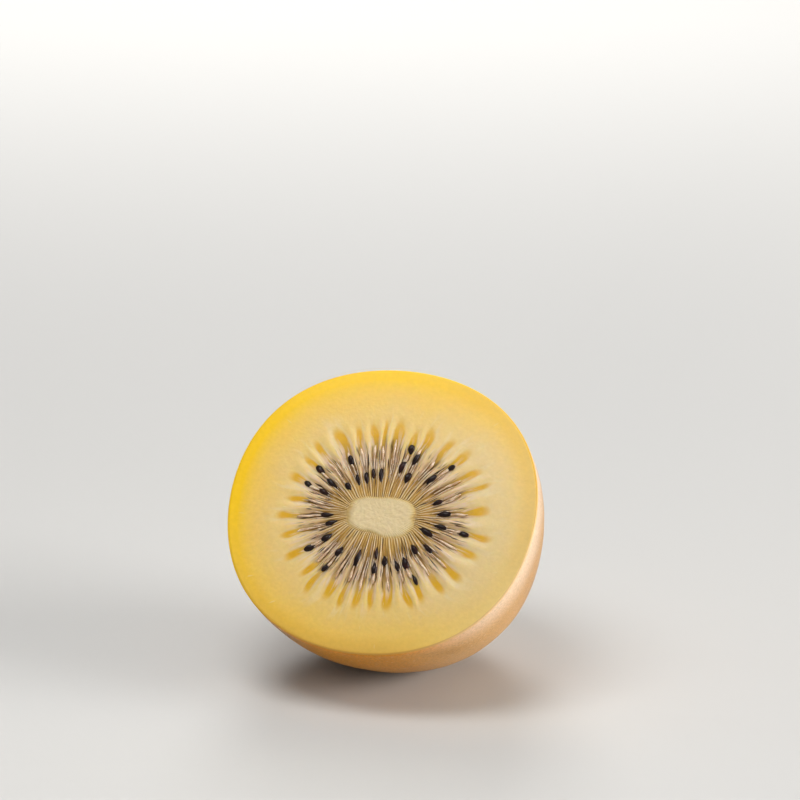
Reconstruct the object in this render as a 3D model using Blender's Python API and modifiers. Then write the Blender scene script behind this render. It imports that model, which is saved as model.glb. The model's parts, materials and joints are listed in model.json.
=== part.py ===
"""Half of a golden kiwi fruit, cut across the middle and leaning back on its skin.

The fruit's own frame has its origin in the middle of the cut face, +X along the face's width, +Y up the
face and +Z straight out of it, so the stem end points along -Z. An empty tilts that frame and stands the
half on the ground, with the middle of its resting spot at the world's origin. Metres throughout.
"""

import math
import random

import bmesh
import bpy
from mathutils import Matrix, Vector

MM = 0.001

# The whole fruit's envelope. The cut runs through its widest place.
FACE_HALF_WIDTH = 25.5 * MM
FACE_HALF_HEIGHT = 24.2 * MM
STEM_END_DEPTH = 34.5 * MM
FULLNESS = 2.35                      # 2 is an ellipsoid, and more is barrel-shaped
THREE_SIDED_BULGE = 0.0045           # shares of the radius, for a fruit that isn't quite round
FOUR_SIDED_BULGE = 0.0125
STEM_DIMPLE_DEPTH = 0.9 * MM
STEM_DIMPLE_RADIUS = 4.5 * MM

# How the half rests.
FACE_ELEVATION = math.radians(38)    # how far above the horizon the cut face looks
SPOT_SINK = 0.4 * MM                 # how far the soft fruit flattens under its own weight

# The layers.
GAP = 0.4 * MM                       # between neighbouring solids
HAIR = 0.01 * MM                     # places closer than this are the same place
SKIN_THICKNESS = 0.7 * MM
FLESH_INSET = SKIN_THICKNESS + GAP
CORE_HALF_WIDTH = 6.2 * MM
CORE_HALF_HEIGHT = 3.4 * MM
CORE_TIP_SHARE = 0.42                # the core's width at its far end, as a share of that at the face
CORE_LENGTH = 25.7 * MM
CORE_DROP = 1.0 * MM                 # the core lies a little below the middle of the face

# The seed chambers, or locules, that fan out from the core.
LOCULES = 32
LOCULE_REACH = 17.0 * MM             # how far out they end, along the face's width
LOCULE_REACH_SPREAD = 0.05
LOCULE_DEPTH = 0.5 * MM
LOCULE_RING_SHARES = (0.12, 0.35, 0.65, 0.88, 1.0)
STEPS_PER_LOCULE = 4
LOCULE_CROWDING = 0.115              # they stand closer above and below the core than at its sides
ELLIPSE_RELAX = 4.0 * MM             # how soon their rings turn from the core's ellipse to the rim's

# The seeds.
SEED_LENGTH = 2.2 * MM
SEED_LENGTH_SHARES = (0.85, 1.1)
SEED_WIDTH = 1.1 * MM
SEED_THICKNESS = 1.0 * MM
SEED_TAPER = 0.4                     # how much wider a seed is at its outer end, as a share of its width
SEED_SINK = 0.35 * MM                # the depth of a seed's middle below the cut
SEED_SIDES = 6
SEED_SWAY = 0.12                     # how far a seed lies off its locule's middle, as a share of its width
FIRST_SEED = 7.8 * MM                # the nearest that a seed lies, along the face's width
FIRST_SEED_SPREAD = 2.6 * MM
NEXT_SEED_STEP = 2.1 * MM
NEXT_SEED_SPREAD = 1.1 * MM
EMPTY_LOCULES = 0.15                 # the share of locules whose seeds the cut missed
SECOND_SEEDS = 0.4                   # the share of the others in which it met two
DRAW_SEED = 11

# The dried calyx round the stub of the stem.
SEPALS = 5
SEPAL_LENGTH = 7.2 * MM
SEPAL_LENGTH_SHARES = (0.8, 1.05)
SEPAL_HALF_WIDTH = 3.3 * MM
SEPAL_ROOT = 0.55                    # how far from the stem's axis a sepal starts, as a share of its radius
SEPAL_FOOT = 0.55                    # a sepal's width at its foot, as a share of its widest
SEPAL_TIP = 0.45                     # and what is left of its width at its tip
SEPAL_THICKNESS = 0.7 * MM
SEPAL_LIFTS = (0.9, 0.25)            # how far above the skin sepals lie in turn, in thicknesses
SEPAL_CURL = 0.5 * MM
SEPAL_CURL_SHARES = (0.6, 1.2)
SEPAL_TIP_CURL = 0.6                 # how far its tip curls up, as a share of how far its sides do
SEPAL_SWAY = 0.15                    # how unevenly they stand round the stem, as a share of their spacing
STUB_RADIUS = 2.3 * MM
STUB_NARROWED = 0.8                  # the stub's radius at its broken end, as a share of that at the skin
STUB_HEIGHT = 1.9 * MM

SKIN_STEPS = 64
SKIN_RINGS = 14
FLESH_RINGS = 9
SEPAL_CELLS = (4, 6)
CORE_SIDES = 48
STUB_SIDES = 16
LOWEST_POINT_SAMPLES = 2000

SKIN_COLOUR = (0.56, 0.38, 0.17, 1.0)
FLESH_COLOUR = (0.86, 0.63, 0.19, 1.0)
CORE_COLOUR = (0.82, 0.70, 0.42, 1.0)
SEED_COLOUR = (0.02, 0.012, 0.01, 1.0)
CALYX_COLOUR = (0.19, 0.13, 0.08, 1.0)


def material(name, colour, roughness):
    """A plain Principled material."""
    made = bpy.data.materials.new(name)
    made.use_nodes = True
    shader = made.node_tree.nodes["Principled BSDF"]
    shader.inputs["Base Color"].default_value = colour
    shader.inputs["Roughness"].default_value = roughness
    shader.inputs["Metallic"].default_value = 0.0
    made.diffuse_color = colour
    return made


def collection(name):
    """A new collection in the scene."""
    made = bpy.data.collections.new(name)
    bpy.context.scene.collection.children.link(made)
    return made


def add_object(name, bm, home, *materials):
    """A mesh object made from a bmesh, which is freed."""
    mesh = bpy.data.meshes.new(name)
    bm.to_mesh(mesh)
    bm.free()
    for entry in materials:
        mesh.materials.append(entry)
    made = bpy.data.objects.new(name, mesh)
    home.objects.link(made)
    return made


def applied(obj):
    """Applies an object's modifiers to its mesh."""
    graph = bpy.context.evaluated_depsgraph_get()
    mesh = bpy.data.meshes.new_from_object(obj.evaluated_get(graph))
    obj.modifiers.clear()
    obj.data = mesh
    return obj


def turned(name, profile, steps, home, *materials):
    """A surface turned about Z from (radius, height) points, which run down its outer side."""
    bm = bmesh.new()
    points = [bm.verts.new((radius, 0, height)) for radius, height in profile]
    for start, end in zip(points, points[1:]):
        bm.edges.new((start, end))
    made = add_object(name, bm, home, *materials)
    screw = made.modifiers.new("Turn", "SCREW")
    screw.steps = steps
    screw.render_steps = steps
    screw.use_merge_vertices = True
    screw.merge_threshold = HAIR
    return applied(made)


def reshape(obj, rule):
    """Moves each vertex to where the rule says."""
    for vertex in obj.data.vertices:
        vertex.co = rule(vertex.co)


def smooth(low, high, value):
    """0 below low, 1 above high, and a smooth step between."""
    t = min(1.0, max(0.0, (value - low) / (high - low)))
    return t * t * (3 - 2 * t)


def bulge(angle):
    """How far the fruit's side stands out at an angle round its axis, as a share of its radius."""
    return 1 + THREE_SIDED_BULGE * math.sin(3 * angle) - FOUR_SIDED_BULGE * math.cos(4 * angle)


def side_profile(inset, rings):
    """(radius, height) points of the fruit's side, from the cut down to the stem end."""
    points = []
    for ring in range(rings + 1):
        latitude = math.pi / 2 * ring / rings
        radius = (FACE_HALF_WIDTH - inset) * max(0.0, math.cos(latitude)) ** (2 / FULLNESS)
        height = (inset - STEM_END_DEPTH) * math.sin(latitude) ** (2 / FULLNESS)
        points.append((radius if ring < rings else 0.0, height))
    return points


def side_point(point, inset):
    """Where a turned point of the side lies on the real fruit: flatter, a little bulged, and dimpled."""
    angle = math.atan2(point.y, point.x)
    squash = (FACE_HALF_HEIGHT - inset) / (FACE_HALF_WIDTH - inset)
    out = bulge(angle)
    radius = math.hypot(point.x, point.y)
    dimple = 0.0
    if point.z < -STEM_END_DEPTH / 2:
        dimple = STEM_DIMPLE_DEPTH * math.exp(-((radius / STEM_DIMPLE_RADIUS) ** 2))
    return Vector((point.x * out, point.y * out * squash, point.z + dimple))


def stem_end_height(x, y):
    """The height of the skin's outer surface near the stem end, over a point of the face's plane."""
    reach = math.hypot(x / FACE_HALF_WIDTH, y / FACE_HALF_HEIGHT) / bulge(math.atan2(y, x))
    depth = STEM_END_DEPTH * (1 - reach**FULLNESS) ** (1 / FULLNESS)
    dimple = STEM_DIMPLE_DEPTH * math.exp(-((reach * FACE_HALF_WIDTH / STEM_DIMPLE_RADIUS) ** 2))
    return dimple - depth


def ring_height(reach):
    """The half height of the face's ring whose half width is reach."""
    well = CORE_HALF_WIDTH + GAP
    if reach <= well:
        return min(reach, GAP + (reach - GAP) * CORE_HALF_HEIGHT / CORE_HALF_WIDTH)
    at_core = CORE_HALF_WIDTH - CORE_HALF_HEIGHT
    at_rim = FACE_HALF_WIDTH - FACE_HALF_HEIGHT
    return reach - at_rim - (at_core - at_rim) * math.exp((well - reach) / ELLIPSE_RELAX)


def face_point(reach, angle, height=0.0):
    """A point of the cut face, on the ring of that half width, at a locule's share of the way round."""
    rim = FACE_HALF_WIDTH - FLESH_INSET
    within = 1 - smooth(LOCULE_REACH, rim, reach)
    drop = CORE_DROP * within
    angle += LOCULE_CROWDING * math.sin(2 * angle) * within
    out = 1 + (bulge(angle) - 1) * smooth(CORE_HALF_WIDTH, rim, reach)
    x = reach * out * math.cos(angle)
    y = ring_height(reach) * out * math.sin(angle) - drop
    return Vector((x, y, height))


def locule_reaches():
    """How far out each locule ends, as a share of LOCULE_REACH."""
    draw = random.Random(DRAW_SEED)
    return [1 + LOCULE_REACH_SPREAD * draw.uniform(-1, 1) for _ in range(LOCULES)]


def seed_places():
    """(angle, reach, length share) of each seed on the cut face."""
    draw = random.Random(DRAW_SEED)
    places = []
    for locule in range(LOCULES):
        count = 0 if draw.random() < EMPTY_LOCULES else 1 + (draw.random() < SECOND_SEEDS)
        reach = FIRST_SEED + FIRST_SEED_SPREAD * draw.random()
        for _ in range(count):
            angle = math.tau * (locule + 0.5 + SEED_SWAY * draw.uniform(-1, 1)) / LOCULES
            places.append((angle, reach, draw.uniform(*SEED_LENGTH_SHARES)))
            reach += NEXT_SEED_STEP + NEXT_SEED_SPREAD * draw.random()
    return places


def make_skin(home):
    """The peel: a thin cup, flat where the half rests."""
    finish = material("bronze_skin", SKIN_COLOUR, 0.5)
    skin = turned("skin", side_profile(0, SKIN_RINGS), SKIN_STEPS, home, finish)
    reshape(skin, lambda point: side_point(point, 0))
    return skin


def make_flesh(home):
    """The gold flesh, with a well for the core and a shallow groove for each locule."""
    rim = FACE_HALF_WIDTH - FLESH_INSET
    well = CORE_HALF_WIDTH + GAP
    well_floor = -(CORE_LENGTH + GAP)
    well_floor_radius = CORE_HALF_WIDTH * CORE_TIP_SHARE + GAP
    groove_rings = [well + share * (LOCULE_REACH - well) for share in LOCULE_RING_SHARES]
    profile = [(0.0, well_floor), (well_floor_radius, well_floor), (well, 0.0)]
    profile += [(reach, 0.0) for reach in groove_rings]
    profile += side_profile(FLESH_INSET, FLESH_RINGS)
    finish = material("gold_flesh", FLESH_COLOUR, 0.35)
    seed_finish = material("seed_coat", SEED_COLOUR, 0.3)
    steps = LOCULES * STEPS_PER_LOCULE
    flesh = turned("flesh", profile, steps, home, finish, seed_finish)
    reaches = locule_reaches()

    def rule(point):
        radius = math.hypot(point.x, point.y)
        angle = math.atan2(point.y, point.x) % math.tau
        if point.z < -MM / 2 and radius > well or point.z < well_floor - MM / 2:
            return side_point(point, FLESH_INSET)
        if radius < well + HAIR:
            return face_point(radius, angle, point.z)
        step = round(angle / math.tau * steps) % steps
        locule, phase = divmod(step, STEPS_PER_LOCULE)
        depth = 0.0
        reach = radius
        if radius < LOCULE_REACH + HAIR:
            share = (radius - well) / (LOCULE_REACH - well)
            reach = well + (radius - well) * (1 + (reaches[locule] - 1) * share)
            depth = LOCULE_DEPTH * math.sin(math.pi * share) ** 0.5 if phase and share < 0.99 else 0.0
        return face_point(reach, angle, -depth)

    reshape(flesh, rule)
    return flesh


def make_seed(angle, reach, share, home, *materials):
    """One seed: a spindle along its locule, blunt towards the rim."""
    here = face_point(reach, angle)
    ahead = face_point(reach + MM, angle) - here
    bm = bmesh.new()
    bmesh.ops.create_uvsphere(bm, u_segments=SEED_SIDES, v_segments=4, radius=0.5)
    size = Vector((SEED_WIDTH, SEED_THICKNESS, SEED_LENGTH * share))
    for vertex in bm.verts:
        narrow = 1 + SEED_TAPER * (vertex.co.z - 0.5)
        vertex.co = Vector((vertex.co.x * narrow * size.x, vertex.co.y * size.y, vertex.co.z * size.z))
    turn = ahead.to_track_quat("Z", "Y").to_matrix().to_4x4()
    bm.transform(Matrix.Translation(here - Vector((0, 0, SEED_SINK))) @ turn)
    for face in bm.faces:
        face.material_index = 1
    return add_object("seed", bm, home, *materials)


def join_seeds(flesh):
    """Fuses the seeds into the flesh that they grow in."""
    repeats = collection("seeds")
    for angle, reach, share in seed_places():
        make_seed(angle, reach, share, repeats, *flesh.data.materials)
    join_collection(flesh, repeats)


def join_collection(obj, repeats):
    """Joins a collection of overlapping solids to an object, and removes the collection."""
    union = obj.modifiers.new("Join", "BOOLEAN")
    union.operation = "UNION"
    union.operand_type = "COLLECTION"
    union.collection = repeats
    union.solver = "EXACT"
    union.use_self = True
    applied(obj)
    for item in list(repeats.objects):
        bpy.data.objects.remove(item)
    bpy.data.collections.remove(repeats)


def make_core(home):
    """The pale core: a flattened, tapered column from the cut face towards the stem end."""
    bm = bmesh.new()
    bmesh.ops.create_cone(
        bm, cap_ends=True, segments=CORE_SIDES, radius1=CORE_TIP_SHARE, radius2=1.0, depth=CORE_LENGTH
    )
    for vertex in bm.verts:
        vertex.co = Vector((
            vertex.co.x * CORE_HALF_WIDTH,
            vertex.co.y * CORE_HALF_HEIGHT - CORE_DROP,
            vertex.co.z - CORE_LENGTH / 2,
        ))
    return add_object("core", bm, home, material("core_pith", CORE_COLOUR, 0.5))


def make_sepal(index, draw, home, finish):
    """One dried sepal: a thin flap that lies on the skin and curls up at its edge."""
    across, along = SEPAL_CELLS
    turn = math.tau * (index + SEPAL_SWAY * draw.uniform(-1, 1)) / SEPALS
    length = SEPAL_LENGTH * draw.uniform(*SEPAL_LENGTH_SHARES)
    bm = bmesh.new()
    bmesh.ops.create_grid(bm, x_segments=across, y_segments=along, size=1)
    lift = GAP + SEPAL_THICKNESS * SEPAL_LIFTS[index % 2]
    for vertex in bm.verts:
        side = vertex.co.x
        share = (vertex.co.y + 1) / 2
        belly = SEPAL_FOOT + (1 - SEPAL_FOOT) * math.sin(math.pi * min(1.0, share * 1.1))
        width = SEPAL_HALF_WIDTH * belly * (1 - (1 - SEPAL_TIP) * share**3)
        out = SEPAL_ROOT * STUB_RADIUS + length * share
        x = out * math.cos(turn) - side * width * math.sin(turn)
        y = out * math.sin(turn) + side * width * math.cos(turn)
        curl = SEPAL_CURL * draw.uniform(*SEPAL_CURL_SHARES)
        curl *= side * side * share + SEPAL_TIP_CURL * share**4
        vertex.co = Vector((x, y, stem_end_height(x, y) - lift - curl))
    sepal = add_object("sepal", bm, home, finish)
    shell = sepal.modifiers.new("Thickness", "SOLIDIFY")
    shell.thickness = SEPAL_THICKNESS
    shell.offset = 1.0
    return applied(sepal)


def make_calyx(home):
    """The dried calyx: a stub of the stem with its sepals pressed to the skin."""
    finish = material("dry_calyx", CALYX_COLOUR, 0.85)
    bm = bmesh.new()
    bmesh.ops.create_cone(
        bm, cap_ends=True, segments=STUB_SIDES, radius1=STUB_RADIUS * STUB_NARROWED, radius2=STUB_RADIUS,
        depth=STUB_HEIGHT,
    )
    top = stem_end_height(STUB_RADIUS, 0) - GAP
    bmesh.ops.translate(bm, verts=bm.verts, vec=(0, 0, top - STUB_HEIGHT / 2))
    calyx = add_object("calyx", bm, home, finish)
    repeats = collection("sepals")
    draw = random.Random(DRAW_SEED)
    for index in range(SEPALS):
        make_sepal(index, draw, repeats, finish)
    join_collection(calyx, repeats)
    return calyx


def resting_place():
    """The world matrix of the fruit's frame, with its lowest skin just under the ground at the origin."""
    tilt = Matrix.Rotation(math.pi / 2 - FACE_ELEVATION, 4, "X")
    under = -math.pi / 2
    lowest = Vector((0, 0, 0))
    for radius, height in side_profile(0, LOWEST_POINT_SAMPLES):
        turned_point = Vector((radius * math.cos(under), radius * math.sin(under), height))
        point = tilt @ side_point(turned_point, 0)
        if point.z < lowest.z:
            lowest = point
    return Matrix.Translation((0, -lowest.y, -lowest.z - SPOT_SINK)) @ tilt


def press_flat(obj, place, height):
    """Flattens what reaches below a world height, as soft fruit settles where it rests."""
    bm = bmesh.new()
    bm.from_mesh(obj.data)
    bm.transform(place)
    everything = bm.verts[:] + bm.edges[:] + bm.faces[:]
    bmesh.ops.bisect_plane(bm, geom=everything, dist=HAIR / 10, plane_co=(0, 0, height), plane_no=(0, 0, 1))
    for vertex in bm.verts:
        vertex.co.z = max(vertex.co.z, height)
    spot = [face for face in bm.faces if all(vertex.co.z < height + HAIR / 10 for vertex in face.verts)]
    bmesh.ops.dissolve_faces(bm, faces=spot, use_verts=True)
    bm.transform(place.inverted())
    bm.to_mesh(obj.data)
    bm.free()


def main():
    for obj in list(bpy.data.objects):
        bpy.data.objects.remove(obj)
    home = collection("golden_kiwi_half")
    skin = make_skin(home)
    flesh = make_flesh(home)
    core = make_core(home)
    calyx = make_calyx(home)

    place = resting_place()
    press_flat(skin, place, 0.0)
    press_flat(flesh, place, FLESH_INSET)
    join_seeds(flesh)
    wall = skin.modifiers.new("Peel thickness", "SOLIDIFY")
    wall.thickness = SKIN_THICKNESS
    wall.offset = -1.0
    wall.use_even_offset = True

    stand = bpy.data.objects.new("resting_fruit", None)
    home.objects.link(stand)
    stand.matrix_world = place
    for piece in (skin, flesh, core, calyx):
        piece.parent = stand
    for piece in (skin, flesh, core):
        piece.data.shade_smooth()
        piece.data.set_sharp_from_angle(angle=math.radians(40))


main()
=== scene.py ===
"""Dresses the half of a golden kiwi fruit: peel, gold flesh, core, arils, seeds and dried calyx.

The fruit's own frame has its origin in the middle of the cut face, +X along the face's width, +Y up the
face and +Z straight out of it. Each piece is modelled in that frame and then stood up by PLACE. Metres.
"""

import json
import math
import random
from functools import partial

import bpy
import numpy as np
from bpy.props import FloatProperty, FloatVectorProperty, IntProperty, PointerProperty
from mathutils import Matrix, Vector, noise


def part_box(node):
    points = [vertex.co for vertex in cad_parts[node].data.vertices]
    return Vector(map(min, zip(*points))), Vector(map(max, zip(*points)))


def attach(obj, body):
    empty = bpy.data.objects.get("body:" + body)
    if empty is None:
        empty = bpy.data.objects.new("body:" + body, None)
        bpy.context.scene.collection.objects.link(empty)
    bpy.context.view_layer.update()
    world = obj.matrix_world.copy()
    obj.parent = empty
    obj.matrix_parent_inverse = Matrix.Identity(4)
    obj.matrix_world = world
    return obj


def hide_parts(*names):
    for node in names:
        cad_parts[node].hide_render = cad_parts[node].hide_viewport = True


bl_info = {
    "name": "Golden kiwi half",
    "version": (1, 0, 0),
    "blender": (4, 5, 0),
    "location": "View3D > Sidebar > Golden kiwi",
    "description": "Models the half of a golden kiwi fruit round its packed solids",
    "category": "Add Mesh",
}

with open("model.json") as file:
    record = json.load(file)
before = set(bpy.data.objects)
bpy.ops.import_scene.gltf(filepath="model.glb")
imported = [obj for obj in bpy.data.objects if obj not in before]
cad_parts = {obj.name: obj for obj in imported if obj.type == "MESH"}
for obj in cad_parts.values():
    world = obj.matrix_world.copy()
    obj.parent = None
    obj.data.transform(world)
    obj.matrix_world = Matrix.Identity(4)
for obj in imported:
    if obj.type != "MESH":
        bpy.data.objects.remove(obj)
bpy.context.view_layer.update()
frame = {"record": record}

MM = 0.001

# ---- Where the fruit lies: its cut face is a mount of the record ----

CUT_MOUNT = next(mount for mount in frame["record"]["mounts"] if mount["name"] == "cut_face")
CUT_MOUNT_RISE = 20.5 * MM  # how far up the face from its middle the mount lies
ACROSS = Vector((1, 0, 0))
OUTWARD = Vector(CUT_MOUNT["axis"]).normalized()
UPWARD = OUTWARD.cross(ACROSS)
FACE_MIDDLE = Vector(CUT_MOUNT["pos_m"]) - UPWARD * CUT_MOUNT_RISE
PLACE = Matrix.Translation(FACE_MIDDLE) @ Matrix((ACROSS, UPWARD, OUTWARD)).transposed().to_4x4()

# ---- The whole fruit's envelope, as its solids have it ----

THREE_SIDED_BULGE = 0.0045
FOUR_SIDED_BULGE = 0.0125
SKIN_LOW, SKIN_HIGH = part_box("skin")
HALF_WIDTH = (SKIN_HIGH[0] - SKIN_LOW[0]) / 2 / (1 - FOUR_SIDED_BULGE)
HALF_HEIGHT = HALF_WIDTH * 0.949
DEPTH = HALF_WIDTH * 1.353  # from the cut to the stem end
FULLNESS = 2.35  # 2 is an ellipsoid, and more is barrel-shaped
DIMPLE_DEPTH = 0.9 * MM
DIMPLE_RADIUS = 4.5 * MM

# ---- The cut face ----

CORE_HALF_WIDTH = 6.2 * MM
CORE_HALF_HEIGHT = 3.4 * MM
CORE_DROP = 1.0 * MM
CORE_LENGTH = 25.7 * MM
CORE_TIP_SHARE = 0.42
CORE_LOBE, CORE_LOBE_SPREAD = 0.22, math.radians(24)
CORE_LOBE_TURN = math.radians(-68)  # the core bulges into the fan at its lower right
CORE_LEAN, CORE_CORNERS, CORE_WAVES = 0.05, 0.075, 0.02  # shares of its radius
RINGS_RELAX = 4.0 * MM
LOCULE_REACH = 17.0 * MM
RAY_STRETCH = 24.0 * MM  # patterns along the rays are this long for a locule's width
FAN_CROWDING = 0.115  # the locules stand closer above and below than at the sides
FAN_SWAY, FAN_WAVER = 0.030, 0.010  # how far rays stray from even turns, in radians
FAN_WIDER, FAN_WIDER_RIGHT, FAN_UNEVEN = 0.03, 0.035, 0.03  # shares of the fan's reach
TO_UPPER_LEFT = (-0.139, 0.139, 0.0)  # takes a ray to -1 at the lower right and 1 at the upper left
WALL_RISE = 0.03 * MM  # the walls between the locules stand up from the cut
MENISCUS_SINK = 0.05 * MM  # the gel at a locule's outer end lies a little lower
FIBRE_RISE = 0.09 * MM  # fibres fray out of the core
FIBRES_PER_LOCULE = 3
WELL_SHARE = 0.86  # the flesh's bore, as a share of the core's half width
WELL_SINK = 0.15 * MM  # the flesh lies lower where the core covers it
WELL_GAP = 0.4 * MM  # below the core's far end

# ---- How the seeds are sown, the same as in the solids ----

FIRST_SEED = 7.8 * MM  # the nearest that a seed lies, along the face's width
FIRST_SEED_SPREAD = 2.6 * MM
NEXT_SEED_STEP = 2.1 * MM
NEXT_SEED_SPREAD = 1.1 * MM
EMPTY_LOCULES = 0.15  # the share of locules whose seeds the cut missed
SECOND_SEEDS = 0.4  # the share of the others in which it met two
SEED_SWAY = 0.12  # how far a seed lies off its locule's middle, as a share of the locule's width
SEED_LENGTH_SHARES = (0.85, 1.1)
SEED_SINK = 0.12 * MM  # of a seed's middle: less than in the solids, so that more of it shows
DRAW_SEED = 11

# ---- Peel and calyx ----

LIP_ROUNDING = 0.1 * MM  # at the peel's cut edge
LIP_LAP = 0.12 * MM  # the flesh laps this far over the peel's lip
INNER_FULL = 0.985  # points of the peel that fill less of the envelope than this are on its inside
STEM_END_REACH = 8 * MM  # the peel is pleated this far round the stem
STEM_END_PLEATS = 0.1 * MM
SEPALS = 5
SEPAL_THICKNESS = 0.18 * MM
STUB_PROFILE = (  # (radius, height) in mm: a hollow, its ragged brim, and the side down into the peel
    (0, -0.2), (0.7, -0.1), (1, -1.2), (1.5, -1.5), (1.8, -1.1), (1.9, 0), (2.2, 0.8), (0, 1),
)
STUB_SINK = 0.5 * MM
CRUMBS = 150

# ---- Fineness of the meshes ----

PEEL_RINGS, PEEL_INNER_RINGS, PEEL_STEPS = 84, 20, 256
FLESH_STEPS, CORE_STEPS = 20, 12  # round each locule
FAN_RINGS_END, FAN_RING = 18.6 * MM, 0.165 * MM
RIM_RINGS, CORE_RINGS, FLESH_SIDE_RINGS = 26, 44, 14
STRAND_STATIONS = 9

# ---- Lights and camera ----

SOFTBOXES = (  # name, place, size and watts
    ("key_softbox", (-0.035, -0.07, 0.24), 0.12, 0.29),
    ("left_softbox", (-0.50, -0.25, 0.85), 0.5, 0.4),
    ("right_softbox", (0.78, 0.03, 0.17), 0.45, 9.2),
    ("back_softbox", (-0.2, 0.7, 0.6), 0.4, 3.5),
)
BACKDROP_SIDES = ((-1, 0), (0, -1), (1, 0), (0, 1))
BACKDROP_OUT, BACKDROP_AIM, BACKDROP_RISE = 1.1, 2.9, 1.4
BACKDROP_SIZE, BACKDROP_POWER = 1.8, 34.0
ROOM_COLOUR, ROOM_STRENGTH = (0.9, 0.92, 0.95, 1), 0.22
CAMERA_AZIMUTH, CAMERA_ELEVATION = math.radians(15.5), math.radians(17)
CAMERA_DISTANCE, CAMERA_LENS = 0.45, 127.6
AIM_RIGHT, AIM_UP = 3.1 * MM, 17.3 * MM  # where the camera looks, from the middle of the cut face


def srgb(code):
    """The linear colour of an sRGB hex code."""
    shares = [int(code[place : place + 2], 16) / 255 for place in (0, 2, 4)]
    bright = [share / 12.92 if share <= 0.04045 else ((share + 0.055) / 1.055) ** 2.4 for share in shares]
    return (*bright, 1.0)


def size_property(name, description, default):
    """A length that can be changed in the sidebar."""
    return FloatProperty(name=name, description=description, default=default, unit="LENGTH", precision=5)


def colour_property(name, description, code):
    """A colour that can be changed in the sidebar."""
    return FloatVectorProperty(
        name=name, description=description, default=srgb(code), size=4, subtype="COLOR", min=0.0, max=1.0
    )


class KiwiSizes(bpy.types.PropertyGroup):
    """Sizes and counts of the pieces"""

    peel_thickness: size_property("Peel thickness", "Thickness of the peel at the cut", 0.35 * MM)
    locules: IntProperty(name="Locules", description="Seed chambers in the fan", default=32, min=8, max=60)
    locule_depth: size_property("Locule depth", "How far a locule sinks below the cut", 0.3 * MM)
    seed_length: size_property("Seed length", "Length of a seed", 2.35 * MM)
    seed_width: size_property("Seed width", "Width of a seed", 1.1 * MM)
    aril_width: size_property("Aril width", "Width of the widest strand of aril", 0.52 * MM)
    sepal_length: size_property("Sepal length", "Length of a dried sepal", 7.4 * MM)


class KiwiColours(bpy.types.PropertyGroup):
    """Colours of the pieces"""

    pericarp: colour_property("Outer flesh", "Flesh outside the fan", "EECA70")
    # On the right this paler tone is painted shade.
    pericarp_pale: colour_property("Pale flesh", "Flesh beside the fan and on the shaded side", "EBD094")
    # Partly the flesh's own yellow and partly a painted glow, strongest at the upper left, on the flesh and
    # on the lip.
    rim: colour_property("Rim", "Flesh next to the peel", "FFCC0A")
    stroke: colour_property("Strokes", "Short pale marks of the knife", "F7E2AE")
    wall: colour_property("Locule walls", "Pale walls between the locules", "E2C78E")
    amber: colour_property("Amber tips", "Clear gel at the locules' outer ends", "E0AC18")
    # Painted shade on the flesh's edge at the bottom and at the upper right.
    bronze: colour_property("Bronze", "Flesh next to the peel at the bottom", "D09C40")
    wisp: colour_property("Wisps", "Pale threads that run into the outer flesh", "EED9AA")
    gel: colour_property("Deep gel", "Gel seen deep in the locules", "8A602C")
    # Painted shadow, in thin dark lines between the arils.
    thread: colour_property("Dark threads", "Thin shadows between the arils", "2E1609")
    fibre: colour_property("Gold fibres", "Gold lines between the core's fibres", "C2964A")
    # Painted shadow in the gold lines by the core.
    fibre_painted_shadow: colour_property("Dark fibres", "Shadows in those lines", "5E3C16")
    core: colour_property("Core", "Pith of the core", "E4CE9F")
    core_edge: colour_property("Core edge", "Fibres at the core's edge", "E6CA84")
    aril: colour_property("Arils", "Wet membranes that hold the seeds", "E9CEB0")
    aril_deep: colour_property("Deep arils", "Shaded parts of the membranes", "BE9A74")
    seed: colour_property("Seeds", "Seed coats", "1A0906")
    seed_brown: colour_property("Brown seeds", "Paler patches of the seed coats", "3A1810")
    peel: colour_property("Peel", "Middle tone of the peel", "BE8F52")
    peel_dark: colour_property("Dark peel", "Darkest tone of the peel", "97692E")
    peel_cream: colour_property("Pale peel", "Peel near the stem end", "DFC49C")
    # Painted glow of light through the flesh, beside the cut.
    peel_gold: colour_property("Cut peel", "Peel beside the cut, where the flesh shines through", "E2940E")
    # Painted highlight beside the cut at the right.
    peel_painted_highlight: colour_property("Sunny peel", "Peel beside the cut at the right", "D6B898")
    bloom: colour_property("Bloom", "Satin sheen of the peel", "F6E4D0")
    lip: colour_property("Lip", "The peel's own thickness at the cut", "D39C44")
    # Painted highlight of the light from the right.
    lip_painted_highlight: colour_property("Right lip", "The lip at the right", "DDB680")
    # Painted shade: a darker gold at the top of the lip.
    lip_painted_shade: colour_property("High lip", "The lip at the top", "D4A444")
    fleck: colour_property("Flecks", "Pale pores of the peel", "DDBFA2")
    sepal: colour_property("Sepals", "Dried sepals", "8A6E5A")
    sepal_dark: colour_property("Dark sepals", "Hollows and old stains of the sepals", "4A3322")
    crust: colour_property("Crust", "Pale edges of the sepals, and the crust round them", "DCC49A")
    crack: colour_property("Cracks", "Cracks in the crust", "6E543A")
    floor: colour_property("Floor", "Matte floor", "CECCC8")


# ---- Shapes ----


def smooth(low, high, value):
    """0 below low, 1 above high, and a smooth step between."""
    share = np.clip((value - low) / (high - low), 0, 1)
    return share * share * (3 - 2 * share)


def bulge(angle):
    """How far the fruit's side stands out at an angle round its axis, as a share of its radius."""
    return 1 + THREE_SIDED_BULGE * np.sin(3 * angle) - FOUR_SIDED_BULGE * np.cos(4 * angle)


def waves(angle, counts, seed):
    """A sum of waves round the fruit, between about -1 and 1."""
    draw = random.Random(seed)
    total = sum(np.sin(count * angle + draw.uniform(0, math.tau)) for count in counts)
    return total / math.sqrt(len(counts))


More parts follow.
